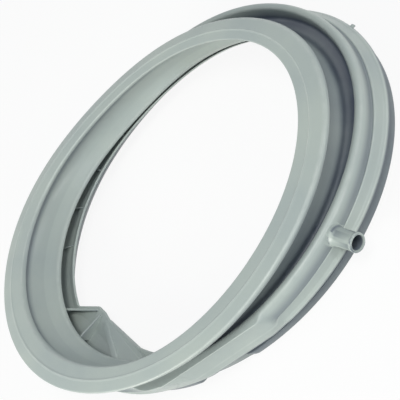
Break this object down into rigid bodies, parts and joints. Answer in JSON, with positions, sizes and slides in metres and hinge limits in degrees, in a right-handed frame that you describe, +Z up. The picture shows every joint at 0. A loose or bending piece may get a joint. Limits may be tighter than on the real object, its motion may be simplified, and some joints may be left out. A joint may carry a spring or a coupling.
{
  "type": "washing machine door seal",
  "caption": "Rubber door bellows for a front-loading washer, with an offset drum bead, a folded wall, a ribbed lobe on the door lip and a side spout.",
  "frame": {"origin": "middle of the seal's outer size, on the plane of the door-side flange that it lies on", "axes": "+Z up out of the drum-side bead along the drum axis, +Y towards the top of the machine, +X towards the spout"},
  "size_m": [0.3778, 0.3868, 0.0575],
  "materials": {
    "rubber": "satin grey-green moulded rubber"
  },
  "bodies": {
    "root": {"door_seal": "rubber"}
  },
  "joints": []
}
